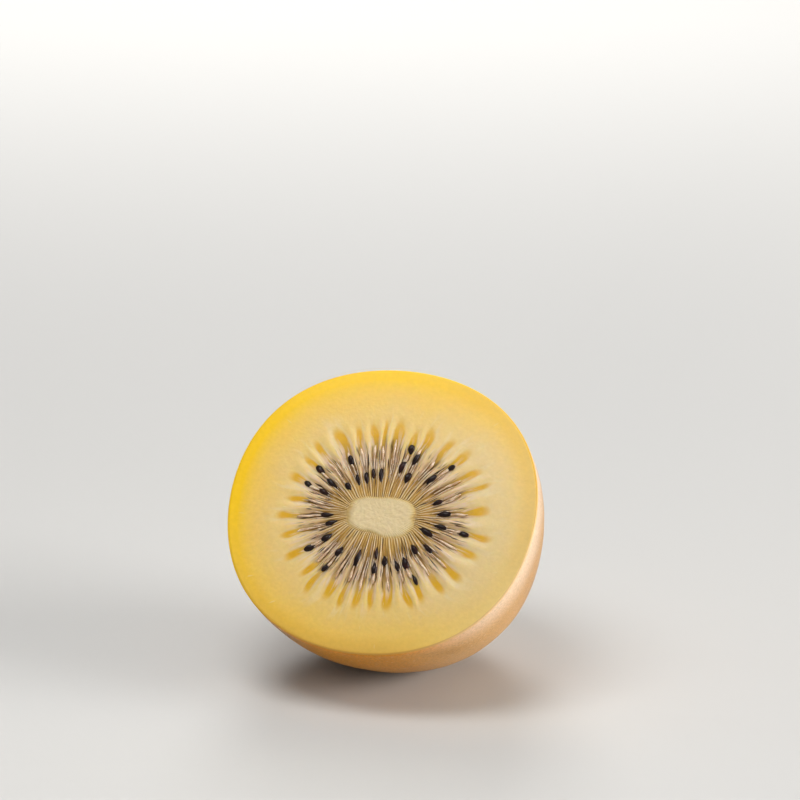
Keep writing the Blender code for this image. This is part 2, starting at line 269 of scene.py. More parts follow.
def band(reach, start, full, fading, end):
    """1 from full to fading along a ray, 0 before start and past end, and smooth steps between, in mm."""
    return smooth(start * MM, full * MM, reach) * (1 - smooth(fading * MM, end * MM, reach))


def grain(points, size, seed=0):
    """Coherent noise from -1 to 1 at each point, with lumps of that size."""
    offset = Vector((seed * 7.3, seed * 3.1, seed * 5.7))
    return np.array([noise.noise(Vector(point) / size + offset) for point in points])


def lumps(points, *layers):
    """Layers of coherent noise added up, each given by its lumps' width and height in mm and its seed."""
    return sum(grain(points, width * MM, seed) * height * MM for width, height, seed in layers)


def side_profile(inset, rings):
    """(radius, height) points of the fruit's side, from the cut down to the stem end."""
    points = []
    for ring in range(rings + 1):
        latitude = math.pi / 2 * ring / rings
        radius = (HALF_WIDTH - inset) * max(0.0, math.cos(latitude)) ** (2 / FULLNESS)
        height = (inset - DEPTH) * math.sin(latitude) ** (2 / FULLNESS)
        points.append((radius if ring < rings else 0.0, height))
    return points


def side_points(x, y, z, inset):
    """Where turned points of the side lie on the real fruit: flatter, a little bulged, and dimpled."""
    out = bulge(np.arctan2(y, x))
    squash = (HALF_HEIGHT - inset) / (HALF_WIDTH - inset)
    deep = z < -DEPTH / 2
    dimple = np.where(deep, DIMPLE_DEPTH * np.exp(-((np.hypot(x, y) / DIMPLE_RADIUS) ** 2)), 0.0)
    return np.stack((x * out, y * out * squash, z + dimple), axis=1)


def stem_end_height(x, y):
    """The height of the peel's outer surface near the stem end, over points of the face's plane."""
    reach = np.hypot(x / HALF_WIDTH, y / HALF_HEIGHT) / bulge(np.arctan2(y, x))
    dimple = DIMPLE_DEPTH * np.exp(-((reach * HALF_WIDTH / DIMPLE_RADIUS) ** 2))
    return dimple - DEPTH * (1 - reach**FULLNESS) ** (1 / FULLNESS)


def ring_height(reach):
    """The half height of the face's ring whose half width is reach."""
    at_core = CORE_HALF_WIDTH - CORE_HALF_HEIGHT
    at_rim = HALF_WIDTH - HALF_HEIGHT
    outside = reach - at_rim - (at_core - at_rim) * np.exp((CORE_HALF_WIDTH - reach) / RINGS_RELAX)
    return np.where(reach < CORE_HALF_WIDTH, reach * CORE_HALF_HEIGHT / CORE_HALF_WIDTH, outside)


def core_outline(angle):
    """The core's outline as a share of its ellipse: a rounded oblong with one lobe."""
    off_lobe = (angle - CORE_LOBE_TURN + math.pi) % math.tau - math.pi
    lobe = CORE_LOBE * np.exp(-((off_lobe / CORE_LOBE_SPREAD) ** 2))
    oblong = CORE_LEAN * np.cos(angle) - CORE_CORNERS * np.cos(4 * angle)
    return 1 + oblong + lobe + CORE_WAVES * waves(angle, (3, 7, 11), 5)


def face_points(turn, reach, height):
    """Points of the cut face: turn counts locules round the fan, and reach is the ring's half width."""
    turn, reach = np.asarray(turn, float), np.asarray(reach, float)
    round_turn = math.tau * turn / bpy.context.scene.kiwi_sizes.locules
    within = 1 - smooth(LOCULE_REACH, HALF_WIDTH * 0.94, reach)
    fan = smooth(CORE_HALF_WIDTH, LOCULE_REACH * 0.8, reach) * within
    angle = round_turn + FAN_CROWDING * np.sin(2 * round_turn) * within
    angle = angle + FAN_SWAY * waves(round_turn, (5, 9, 14), 1) * fan
    angle = angle + FAN_WAVER * waves(round_turn + reach / MM * 0.07, (6, 11, 17), 2) * fan
    wider = FAN_WIDER + FAN_WIDER_RIGHT * np.cos(round_turn)
    wider = wider + FAN_UNEVEN * waves(round_turn, (3, 7, 11, 15), 3)
    reach = reach * (1 + fan * wider)
    to_rim = smooth(CORE_HALF_WIDTH, HALF_WIDTH, reach)
    by_core = 1 - smooth(CORE_HALF_WIDTH * 0.8, CORE_HALF_WIDTH * 1.7, reach)
    out = 1 + (bulge(angle) - 1) * to_rim + (core_outline(angle) - 1) * by_core
    x = reach * out * np.cos(angle)
    y = ring_height(reach) * out * np.sin(angle) - CORE_DROP * (1 - smooth(LOCULE_REACH, HALF_WIDTH, reach))
    return np.stack((x, y, np.broadcast_to(height, x.shape)), axis=1)


def face_relief(turn, reach):
    """The height of the flesh on its cut face: sunken locules, their walls, and fibres by the core."""
    off_middle = np.abs(turn % 1 - 0.5) * 2
    locule = bpy.context.scene.kiwi_sizes.locule_depth * (1 - smooth(0.35, 0.85, off_middle))
    meniscus = MENISCUS_SINK * (1 - smooth(0.3, 0.8, off_middle))
    wall = WALL_RISE * smooth(0.6, 1.0, off_middle)
    fibres = FIBRE_RISE * np.cos(math.tau * FIBRES_PER_LOCULE * turn)
    raised = wall * band(reach, 6.5, 9.0, 15.0, 19.0) + fibres * band(reach, 5.4, 6.4, 8.0, 10.0)
    sunken = locule * band(reach, 7.0, 9.5, 11.5, 15.0) + meniscus * band(reach, 13.0, 15.0, 16.0, 17.8)
    return raised - sunken - WELL_SINK * (1 - smooth(5.4 * MM, 6.6 * MM, reach))


# ---- Making pieces ----


def turned_piece(name, profile, steps):
    """Draws an open profile of (radius, height) points and turns it about the Z axis."""
    bpy.ops.mesh.primitive_plane_add(size=MM)
    piece = bpy.context.object
    piece.name = name
    piece.data.name = name
    bpy.ops.object.mode_set(mode="EDIT")
    bpy.ops.mesh.merge(type="CENTER")
    bpy.ops.transform.translate(value=(profile[0][0], 0, profile[0][1]))
    for start, end in zip(profile, profile[1:]):
        step = (end[0] - start[0], 0, end[1] - start[1])
        bpy.ops.mesh.extrude_region_move(TRANSFORM_OT_translate={"value": step})
    bpy.ops.object.mode_set(mode="OBJECT")
    turn = piece.modifiers.new("Turn", "SCREW")
    turn.steps = steps
    turn.render_steps = steps
    turn.use_merge_vertices = True
    turn.merge_threshold = MM / 1000
    bpy.ops.object.modifier_apply(modifier=turn.name)
    face_outwards()
    return piece


def face_outwards():
    """Turns every face of the active piece outwards."""
    bpy.ops.object.mode_set(mode="EDIT")
    bpy.ops.mesh.select_all(action="SELECT")
    bpy.ops.mesh.normals_make_consistent(inside=False)
    bpy.ops.object.mode_set(mode="OBJECT")


def points_of(piece):
    """A piece's vertex positions."""
    flat = np.empty(len(piece.data.vertices) * 3)
    piece.data.vertices.foreach_get("co", flat)
    return flat.reshape(-1, 3)


def turned_places(piece):
    """A turned piece's x, y, z, distance from the axis, and turn round it counted in locules."""
    x, y, z = points_of(piece).T
    share = np.arctan2(y, x) % math.tau / math.tau
    return x, y, z, np.hypot(x, y), share * bpy.context.scene.kiwi_sizes.locules


def move_points(piece, points):
    """Gives a piece new vertex positions."""
    piece.data.vertices.foreach_set("co", np.asarray(points, float).ravel())
    piece.data.update()


def stand_up(points):
    """Takes points from the fruit's frame to the world, where the half rests."""
    return points @ np.array(PLACE.to_3x3()).T + np.array(PLACE.translation)


def wrap_map(piece, name, around, along, period):
    """A UV map whose U runs round a turned piece, unbroken across the seam, and whose V is along."""
    mesh = piece.data
    corner = np.empty(len(mesh.loops), int)
    mesh.loops.foreach_get("vertex_index", corner)
    start = np.empty(len(mesh.polygons), int)
    mesh.polygons.foreach_get("loop_start", start)
    count = np.empty(len(mesh.polygons), int)
    mesh.polygons.foreach_get("loop_total", count)
    u = around[corner]
    highest = np.repeat(np.maximum.reduceat(u, start), count)
    u = np.where(highest - u > period / 2, u + period, u)
    layer = mesh.uv_layers.new(name=name)
    layer.uv.foreach_set("vector", np.stack((u, along[corner]), axis=1).ravel())


def ray_map(piece, turn, reach):
    """A vector at each point for patterns drawn out along the rays, which close round the fan."""
    locules = bpy.context.scene.kiwi_sizes.locules
    around = math.tau * turn / locules
    radius = locules / math.tau
    rays = np.stack((radius * np.cos(around), radius * np.sin(around), reach / RAY_STRETCH), 1)
    piece.data.attributes.new("ray", "FLOAT_VECTOR", "POINT").data.foreach_set("vector", rays.ravel())


def dress(piece, finish, slot, *nodes):
    """Gives a finished piece its material, shades it smooth, puts it under the root body and hides the
    solids it stands for.
    """
    piece.data.materials.clear()
    piece.data.materials.append(finish)
    piece.data.shade_smooth()
    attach(piece, "root")
    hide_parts(*nodes)
    piece.select_set(False)


def joined(name, pieces):
    """Joins pieces into one object."""
    bpy.ops.object.select_all(action="DESELECT")
    for piece in pieces:
        piece.select_set(True)
    bpy.context.view_layer.objects.active = pieces[0]
    bpy.ops.object.join()
    whole = bpy.context.object
    whole.name = name
    whole.data.name = name
    return whole


def copy_of(piece, matrix):
    """A copy of a piece with a mesh of its own, moved by a matrix."""
    twin = piece.copy()
    twin.data = piece.data.copy()
    twin.data.transform(matrix)
    bpy.context.collection.objects.link(twin)
    return twin


# ---- Materials ----


def add_node(tree, kind, inputs=(), out=0, stops=(), **settings):
    """Adds a node with its settings and links, and gives back one of its outputs."""
    made = tree.nodes.new("ShaderNode" + kind)
    for name, value in settings.items():
        setattr(made, name, value)
    for socket, value in inputs.items() if isinstance(inputs, dict) else enumerate(inputs):
        if isinstance(value, bpy.types.NodeSocket):
            tree.links.new(value, made.inputs[socket])
        else:
            made.inputs[socket].default_value = value
    for place, (position, colour) in enumerate(stops):
        if place > 1:
            made.color_ramp.elements.new(position)
        made.color_ramp.elements[place].position = position
        made.color_ramp.elements[place].color = colour
    return made.outputs[out] if made.outputs else None


def new_finish(name):
    """An empty material, and the function that adds nodes to it."""
    finish = bpy.data.materials.new(name)
    finish.use_nodes = True
    finish.node_tree.nodes.clear()
    return finish, partial(add_node, finish.node_tree)


# A pattern's scale says how many of its lumps or cells lie along a metre: 2.4 / MM gives one each 0.4 mm. On
# a ray's vector, a scale of 1 gives one to a locule's width, drawn out to RAY_STRETCH.
MULTIPLY = {"operation": "MULTIPLY"}
STEP = {"interpolation_type": "SMOOTHSTEP"}
MIX = {"data_type": "RGBA", "out": 2}


def grained(add, colour, fine, low, high, dark, bright):
    """The colour made darker where a noise is low and brighter where it is high."""
    light = add("MapRange", (fine, low, high, dark, bright))
    light = add("CombineXYZ", (light, light, light))
    return add("Mix", {0: 1.0, 6: colour, 7: light}, blend_type="MULTIPLY", **MIX)


def fibre_lines(add, place, turn):
    """A slow wobble, the turn round the fan shaken by it, and the lines that part the fibres there."""
    wobble = add("TexNoise", {"Vector": place, "Scale": 0.3 / MM, "Detail": 2.0})
    wobble = add("MapRange", (wobble, 0.0, 1.0, -0.07, 0.07))
    shaken = add("Math", (turn, wobble), operation="ADD")
    line = add("Math", (shaken, float(FIBRES_PER_LOCULE)), **MULTIPLY)
    line = add("Math", (line, 0.5), operation="PINGPONG")
    return wobble, shaken, add("MapRange", (line, 0.14, 0.36), **STEP)


def pericarp_colour(add, colours, place, ray, reach):
    """Outer flesh: palest at the right, where shade is painted, and yellower towards the peel, most of all
    at the upper left, where a glow of light through it from behind is painted.
    """
    across = add("SeparateXYZ", (ray,), out=0)
    # The share of the yellower tone: lower at the right, which is painted shade, and lower beside the fan,
    # which is the flesh's own tone.
    painted_light_and_outer = add("MapRange", (across, 1.5, 5.1, 1.0, 0.0), **STEP)
    nearly = add("MapRange", (reach, 15.5, 20.0, 0.6, 1.0))
    painted_light_and_outer = add("Math", (painted_light_and_outer, nearly), **MULTIPLY)
    left = add("MapRange", (across, -4.6, -2.6, 0.7, 1.0))
    painted_light_and_outer = add("Math", (painted_light_and_outer, left), **MULTIPLY)
    colour = add("Mix", {0: painted_light_and_outer, 6: colours.pericarp_pale, 7: colours.pericarp}, **MIX)
    # The rim's yellow is partly the flesh's own and partly a painted glow of light through it from behind,
    # strongest at the upper left.
    rim = add("MapRange", (reach, 16.5, 23.9))
    rim = add("Math", (rim, 2.1), operation="POWER")
    sunny = add("VectorMath", (ray, TO_UPPER_LEFT), out=1, operation="DOT_PRODUCT")
    sunny = add("MapRange", (sunny, -1.2, 0.7, 0.12, 1.0))
    rim = add("Math", (rim, sunny), **MULTIPLY)
    colour = add("Mix", {0: rim, 6: colour, 7: colours.rim}, **MIX)

    # Its edge is bronze at the bottom, and a little duller at the upper right: both are painted shade.
    height = add("SeparateXYZ", (place,), out=2)
    low = add("MapRange", (height, 4 * MM, 28 * MM, 0.7, 0.0), **STEP)
    not_right = add("MapRange", (across, 0.6, 3.0, 1.0, 0.1), **STEP)
    low = add("Math", (low, not_right), **MULTIPLY)
    dull = add("MapRange", (across, 0.0, 3.5, 0.0, 0.25), **STEP)
    upper = add("MapRange", (height, 18 * MM, 28 * MM), **STEP)
    dull = add("Math", (dull, upper), **MULTIPLY)
    bronze = add("Math", (low, dull), operation="MAXIMUM")
    edge = add("MapRange", (reach, 21.5, 25.2), **STEP)
    edge = add("Math", (edge, bronze), **MULTIPLY)
    colour = add("Mix", {0: edge, 6: colour, 7: colours.bronze}, **MIX)

    # Pale wisps run on into it from the locules' walls.
    wisps = add("TexNoise", {"Vector": ray, "Scale": 3.6, "Detail": 2.0})
    wisp = add("MapRange", (wisps, 0.5, 0.68), **STEP)
    fade = add("MapRange", (reach, 16.5, 20.5, 0.45, 0.0), **STEP)
    wisp = add("Math", (wisp, fade), **MULTIPLY)
    return add("Mix", {0: wisp, 6: colour, 7: colours.wisp}, **MIX)


def fan_colour(add, colours, across, own, middle, own_reach):
    """Gel that is gold by the core, brown among the seeds and amber at its end, between pale walls."""
    # Locules are equally wide all round, so their walls are thicker at the sides, where they stand apart.
    sideways = add("Math", (across, 2.0), operation="POWER")
    wall_width = add("MapRange", (sideways, 0.0, 26.0, 0.33, 0.56))
    own_wall = add("MapRange", (own, 0.0, 1.0, 0.07, -0.07))
    own_wall = add("Math", (own_wall, wall_width), operation="ADD")
    along = add("Math", (own_reach, 25.0), operation="DIVIDE")
    gel = add("ValToRGB", (along,), stops=(
        (0.22, colours.core), (0.27, srgb("D2AC62")), (0.34, srgb("AE8644")), (0.41, colours.gel),
        (0.48, srgb("B08A48")), (0.54, srgb("D0A542")), (0.60, colours.amber), (0.70, srgb("E4B236")),
    ))
    wall = add("ValToRGB", (along,), stops=(
        (0.24, colours.core), (0.34, srgb("CFB080")), (0.44, srgb("D6B688")), (0.56, colours.wall),
        (0.74, colours.pericarp_pale),
    ))
    inside = add("Math", (own_wall, 0.26), operation="ADD")
    lens = add("MapRange", (middle, own_wall, inside), **STEP)
    return add("Mix", {0: lens, 6: wall, 7: gel}, **MIX)


def flesh_finish():
    """Ripe golden kiwi flesh, cut by a knife: soft, translucent, finely grained and wet with juice."""
    colours = bpy.context.scene.kiwi_colours
    locules = bpy.context.scene.kiwi_sizes.locules
    finish, add = new_finish("cut_kiwi_flesh")
    place = add("TexCoord", out="Object")
    fan = add("UVMap", uv_map="fan")
    turn = add("SeparateXYZ", (fan,), out=0)
    reach = add("SeparateXYZ", (fan,), out=1)
    ray = add("Attribute", attribute_name="ray", out="Vector")
    across = add("SeparateXYZ", (ray,), out=0)
    wobble, shaken, line = fibre_lines(add, place, turn)

    # Each locule has a place of its own on the scale: some reach further, and some hold clearer gel.
    shaken = add("Math", (shaken, float(locules), 0.0), operation="WRAP")
    number = add("Math", (shaken,), operation="FLOOR")
    own = add("TexWhiteNoise", {"W": number}, noise_dimensions="1D")
    own_reach = add("MapRange", (own, 0.0, 1.0, -0.3, 0.4))
    own_reach = add("Math", (own_reach, reach), operation="ADD")
    middle = add("Math", (shaken, 0.5), operation="PINGPONG")
    middle = add("Math", (middle, 2.0), **MULTIPLY)

    # The fan ends in rounded tips.
    corner = add("Math", (1.0, middle), operation="SUBTRACT")
    corner = add("Math", (corner, 2.0), operation="POWER")
    tip = add("Math", (corner, 4.5, own_reach), operation="MULTIPLY_ADD")
    tip = add("MapRange", (tip, 15.9, 17.7, 1.0, 0.0), **STEP)
    outside = pericarp_colour(add, colours, place, ray, reach)
    inside = fan_colour(add, colours, across, own, middle, own_reach)
    colour = add("Mix", {0: tip, 6: outside, 7: inside}, **MIX)

    # Pale threads and painted thin shadows run between the arils.
    threads = add("TexNoise", {"Vector": ray, "Scale": 8.5, "Detail": 1.5})
    strands = add("TexNoise", {"Vector": ray, "Scale": 6.0, "Detail": 1.5, "Distortion": 0.3})
    near = add("MapRange", (reach, 6.4, 8.0), **STEP)
    inner = add("MapRange", (reach, 11.5, 14.5, 1.0, 0.0), **STEP)
    inner = add("Math", (near, inner), **MULTIPLY)
    further = add("MapRange", (own_reach, 13.0, 16.4, 1.0, 0.0), **STEP)
    further = add("Math", (near, further), **MULTIPLY)
    pale = add("MapRange", (strands, 0.51, 0.6, 0.0, 0.75), **STEP)
    pale = add("Math", (pale, further), **MULTIPLY)
    colour = add("Mix", {0: pale, 6: colour, 7: colours.aril}, **MIX)
    dark = add("MapRange", (threads, 0.36, 0.43, 0.95, 0.0), **STEP)
    dark = add("Math", (dark, inner), **MULTIPLY)
    colour = add("Mix", {0: dark, 6: colour, 7: colours.thread}, **MIX)

    # Gold lines part the core's fibres, with painted shadow in their darker parts.
    start = add("MapRange", (reach, 5.0, 6.2), **STEP)
    end = add("MapRange", (reach, 8.6, 11.0, 1.0, 0.0), **STEP)
    start = add("Math", (start, end), **MULTIPLY)
    line = add("Math", (line, start), **MULTIPLY)
    shadow = add("MapRange", (threads, 0.36, 0.5), **STEP)
    gap = add("Mix", {0: shadow, 6: colours.fibre_painted_shadow, 7: colours.fibre}, **MIX)
    colour = add("Mix", {0: line, 6: colour, 7: gap}, **MIX)

    # Fine grain: juice cells about 0.4 mm across, and short pale strokes here and there.
    fine = add("TexNoise", {"Vector": place, "Scale": 1.5 / MM, "Detail": 3.0})
    colour = grained(add, colour, fine, 0.3, 0.75, 0.965, 1.035)
    strokes = add("TexVoronoi", {"Vector": ray, "Scale": 4.5}, out="Distance")
    stroke = add("MapRange", (strokes, 0.06, 0.15, 0.55, 0.0), **STEP)
    some = add("MapRange", (wobble, 0.0, 0.03), **STEP)
    stroke = add("Math", (stroke, some), **MULTIPLY)
    colour = add("Mix", {0: stroke, 6: colour, 7: colours.stroke}, **MIX)
    cells = add("TexVoronoi", {"Vector": place, "Scale": 2.4 / MM}, out="Distance")
    relief = add("Math", (cells, 0.5, fine), operation="MULTIPLY_ADD")
    relief = add("Math", (stroke, 0.8, relief), operation="MULTIPLY_ADD")
    bump = add("Bump", {"Height": relief, "Strength": 0.12, "Distance": 0.1 * MM})

    # Less light gets lost under the surface beside the core and the peel, which are as clear as the flesh.
    by_core = add("MapRange", (reach, 6.5, 9.5), **STEP)
    by_peel = add("MapRange", (reach, 22.3, 24.9, 0.5, 0.0), **STEP)
    depth = add("Math", (by_core, by_peel), **MULTIPLY)

    shader = add("BsdfPrincipled", {
        "Base Color": colour,
        "Roughness": 0.4,
        "IOR": 1.36,
        "Specular IOR Level": 0.3,
        "Subsurface Weight": depth,
        "Subsurface Radius": (1.0, 0.55, 0.14),
        "Subsurface Scale": 1.3 * MM,
        "Coat Weight": 0.1,
        "Coat Roughness": 0.12,
        "Normal": bump,
    })
    add("OutputMaterial", {"Surface": shader})
    return finish


def core_finish():
    """The core's pith: cream, close-grained and moist, with fibres fraying out at its edge."""
    colours = bpy.context.scene.kiwi_colours
    finish, add = new_finish("kiwi_core_pith")
    place = add("TexCoord", out="Object")
    fan = add("UVMap", uv_map="fan")
    turn = add("SeparateXYZ", (fan,), out=0)
    reach = add("SeparateXYZ", (fan,), out=1)
    fine = add("TexNoise", {"Vector": place, "Scale": 2.6 / MM, "Detail": 3.0})
    _, _, line = fibre_lines(add, place, turn)
    edge = add("MapRange", (reach, 5.0, 6.2), **STEP)
    line = add("Math", (line, edge), **MULTIPLY)
    warm = add("Mix", {0: edge, 6: colours.core, 7: colours.core_edge}, **MIX)
    colour = add("Mix", {0: line, 6: warm, 7: colours.fibre}, **MIX)
    colour = grained(add, colour, fine, 0.3, 0.7, 0.97, 1.05)
    bump = add("Bump", {"Height": fine, "Strength": 0.3, "Distance": 0.1 * MM})
    depth = add("MapRange", (reach, 4.5, 6.6, 0.4, 0.0), **STEP)
    shader = add("BsdfPrincipled", {
        "Base Color": colour,
        "Roughness": 0.5,
        "IOR": 1.36,
        "Specular IOR Level": 0.4,
        "Subsurface Weight": depth,
        "Subsurface Radius": (1.0, 0.7, 0.3),
        "Subsurface Scale": 0.8 * MM,
        "Normal": bump,
    })
    add("OutputMaterial", {"Surface": shader})
    return finish


def aril_finish():
    """Aril: wet, half-clear membrane round the seeds, whitish at its outer end, with sharp glints."""
    colours = bpy.context.scene.kiwi_colours
    finish, add = new_finish("wet_aril")
    place = add("TexCoord", out="Object")
    cloud = add("TexNoise", {"Vector": place, "Scale": 0.9 / MM, "Detail": 3.0})
    share = add("MapRange", (cloud, 0.35, 0.65), **STEP)
    colour = add("Mix", {0: share, 6: colours.aril_deep, 7: colours.aril}, **MIX)
    bump = add("Bump", {"Height": cloud, "Strength": 0.6, "Distance": 0.2 * MM})
    shader = add("BsdfPrincipled", {
        "Base Color": colour,
        "Roughness": 0.25,
        "IOR": 1.36,
        "Subsurface Weight": 0.4,
        "Subsurface Radius": (1.0, 0.75, 0.5),
        "Subsurface Scale": 0.6 * MM,
        "Coat Weight": 0.6,
        "Coat Roughness": 0.05,
        "Normal": bump,
    })
    add("OutputMaterial", {"Surface": shader})
    return finish


def seed_finish():
    """Seed coat: hard, smooth and maroon-black, with a faint wet shine."""
    colours = bpy.context.scene.kiwi_colours
    finish, add = new_finish("kiwi_seed_coat")
    place = add("TexCoord", out="Object")
    pits = add("TexVoronoi", {"Vector": place, "Scale": 4.5 / MM}, out="Distance")
    tint = add("TexNoise", {"Vector": place, "Scale": 0.7 / MM})
    share = add("MapRange", (tint, 0.5, 0.8), **STEP)
    colour = add("Mix", {0: share, 6: colours.seed, 7: colours.seed_brown}, **MIX)
    bump = add("Bump", {"Height": pits, "Strength": 0.3, "Distance": 0.05 * MM})
    shader = add("BsdfPrincipled", {
        "Base Color": colour,
        "Roughness": 0.4,
        "IOR": 1.45,
        "Specular IOR Level": 0.25,
        "Coat Weight": 0.12,
        "Coat Roughness": 0.1,
        "Normal": bump,
    })
    add("OutputMaterial", {"Surface": shader})
    return finish


def crust_round_stem(add, colours, colour, place, bent, from_stem):
    """The share of cracked crust by the sepals, how deep its cracks are, and the colour with it."""
    patchy = add("TexNoise", {"Vector": place, "Scale": 0.26 / MM, "Detail": 3.0})
    patchy = add("Math", (patchy, 9.0, from_stem), operation="MULTIPLY_ADD")
    crust = add("MapRange", (patchy, 10.8, 12.8, 0.9, 0.0), **STEP)
    granule = add("TexVoronoi", {"Vector": bent, "Scale": 2.6 / MM}, out="Distance")
    crack = add("MapRange", (granule, 0.4, 0.75, 0.0, 0.7), **STEP)
    crusty = add("Mix", {0: crack, 6: colours.crust, 7: colours.crack}, **MIX)
    return crust, crack, add("Mix", {0: crust, 6: colour, 7: crusty}, **MIX)


def pores(add, place, bent):
    """Pale flecks: a few large and many small, thicker in some places."""
    crowd = add("TexNoise", {"Vector": place, "Scale": 0.11 / MM})
    crowd = add("MapRange", (crowd, 0.35, 0.65, 0.45, 1.0))
    flecks = 0.0
    layers = (0.8, 2.0, 0.28, 0.5), (1.5, 1.2, 0.34, 0.42), (2.6, 0.8, 0.36, 0.3)
    for per_mm, rarity, largest, strength in layers:
        distance = add("TexVoronoi", {"Vector": bent, "Scale": per_mm / MM}, out="Distance")
        size = add("TexVoronoi", {"Vector": bent, "Scale": per_mm / MM}, out="Color")
        size = add("SeparateXYZ", (size,), out=0)
        size = add("Math", (size, rarity), operation="POWER")
        size = add("MapRange", (size, 0.0, 1.0, 0.02, largest))
        inside = add("Math", (size, 0.5), **MULTIPLY)
        fleck = add("MapRange", (distance, inside, size, strength, 0.0), **STEP)
        fleck = add("Math", (fleck, crowd), **MULTIPLY)
        flecks = add("Math", (fleck, flecks), operation="MAXIMUM")
    return flecks


def lip_colour(add, colours, ray, right, height):
    """The cut through the peel: the rim's yellow where the fruit is sunny, a painted glow of light through
    it, and elsewhere its own colour, with a cream painted highlight at the right and painted shade at the
    top.
    """
    colour = add("Mix", {0: right, 6: colours.lip, 7: colours.lip_painted_highlight}, **MIX)
    high = add("MapRange", (height, 25 * MM, 35 * MM), **STEP)
    colour = add("Mix", {0: high, 6: colour, 7: colours.lip_painted_shade}, **MIX)
    sunny = add("VectorMath", (ray, TO_UPPER_LEFT), out=1, operation="DOT_PRODUCT")
    sunny = add("MapRange", (sunny, -0.6, 0.6), **STEP)
    return add("Mix", {0: sunny, 6: colour, 7: colours.rim}, **MIX)


def peel_finish():
    """Golden kiwi peel: thin and bronze, with a satin bloom, fine grain, pores and a crust by the stem."""
    colours = bpy.context.scene.kiwi_colours
    finish, add = new_finish("kiwi_peel")
    place = add("TexCoord", out="Object")
    height = add("SeparateXYZ", (place,), out=2)
    wrap = add("UVMap", uv_map="wrap")
    depth = add("SeparateXYZ", (wrap,), out=1)
    ray = add("Attribute", attribute_name="ray", out="Vector")
    across = add("SeparateXYZ", (ray,), out=0)
    from_stem = add("SeparateXYZ", (ray,), out=2)
    from_stem = add("Math", (from_stem, RAY_STRETCH / MM), **MULTIPLY)
    bend = add("TexNoise", {"Vector": place, "Scale": 1.6 / MM, "Detail": 2.0}, out="Color")
    bent = add("VectorMath", (bend, (0.7 * MM, 0.7 * MM, 0.7 * MM), place), operation="MULTIPLY_ADD")

    # Slow changes from gold to brown, and towards the stem end pale streaks.
    broad = add("TexNoise", {"Vector": place, "Scale": 0.045 / MM, "Detail": 2.0})
    share = add("MapRange", (broad, 0.3, 0.7), **STEP)
    colour = add("Mix", {0: share, 6: colours.peel_dark, 7: colours.peel}, **MIX)
    streaks = add("TexNoise", {"Vector": ray, "Scale": 6.0, "Detail": 3.0, "Distortion": 0.3})
    reached = add("Math", (streaks, 10.0, from_stem), operation="MULTIPLY_ADD")
    reached = add("Math", (broad, 6.0, reached), operation="MULTIPLY_ADD")
    pale = add("MapRange", (reached, 12.0, 26.0, 0.55, 0.0), **STEP)
    colour = add("Mix", {0: pale, 6: colour, 7: colours.peel_cream}, **MIX)
    crust, crack, colour = crust_round_stem(add, colours, colour, place, bent, from_stem)

    # Beside the cut the flesh shines through the peel, painted as a glow: gold, widest below, and cream at
    # the right, a painted highlight of the light from that side.
    right = add("MapRange", (across, 1.0, 4.2), **STEP)
    width = add("MapRange", (right, 0.0, 1.0, 0.12, 0.3))
    below = add("MapRange", (height, 2 * MM, 14 * MM, 0.7, 0.0), **STEP)
    width = add("Math", (width, below), operation="MAXIMUM")
    uneven = add("Math", (broad, 0.05, depth), operation="MULTIPLY_ADD")
    shine = add("MapRange", (uneven, 0.03, width, 0.95, 0.0), **STEP)
    shine_colour = add("Mix", {0: right, 6: colours.peel_gold, 7: colours.peel_painted_highlight}, **MIX)
    colour = add("Mix", {0: shine, 6: colour, 7: shine_colour}, **MIX)

    fine = add("TexNoise", {"Vector": place, "Scale": 2.4 / MM, "Detail": 2.0, "Roughness": 0.7})
    colour = grained(add, colour, fine, 0.25, 0.75, 0.78, 1.22)
    flecks = pores(add, place, bent)
    colour = add("Mix", {0: flecks, 6: colour, 7: colours.fleck}, **MIX)
    lip = add("MapRange", (depth, 0.004, 0.016, 1.0, 0.0), **STEP)
    colour = add("Mix", {0: lip, 6: colour, 7: lip_colour(add, colours, ray, right, height)}, **MIX)

    grainy = add("Math", (flecks, 1.2, fine), operation="MULTIPLY_ADD")
    deep = add("Math", (crust, crack), **MULTIPLY)
    relief = add("Math", (deep, -4.0, grainy), operation="MULTIPLY_ADD")
    bump = add("Bump", {"Height": relief, "Strength": 0.4, "Distance": 0.1 * MM})
    rough = add("MapRange", (crust, 0.0, 1.0, 0.42, 0.8))

    # The bloom starts behind the cut, and underneath there is next to none of it, nor of the gloss.
    bloom = add("MapRange", (depth, 0.1, 0.4, 0.0, 0.3), **STEP)
    clear = add("MapRange", (height, 2 * MM, 14 * MM, 0.1, 1.0), **STEP)
    bloom = add("Math", (bloom, clear), **MULTIPLY)
    gloss = add("Math", (clear, 0.4), **MULTIPLY)
    shader = add("BsdfPrincipled", {
        "Base Color": colour,
        "Roughness": rough,
        "IOR": 1.45,
        "Specular IOR Level": gloss,
        "Subsurface Weight": 0.06,
        "Subsurface Radius": (1.0, 0.6, 0.3),
        "Subsurface Scale": 0.7 * MM,
        "Sheen Weight": bloom,
        "Sheen Roughness": 0.35,
        "Sheen Tint": colours.bloom,
        "Normal": bump,
    })
    add("OutputMaterial", {"Surface": shader})
    return finish


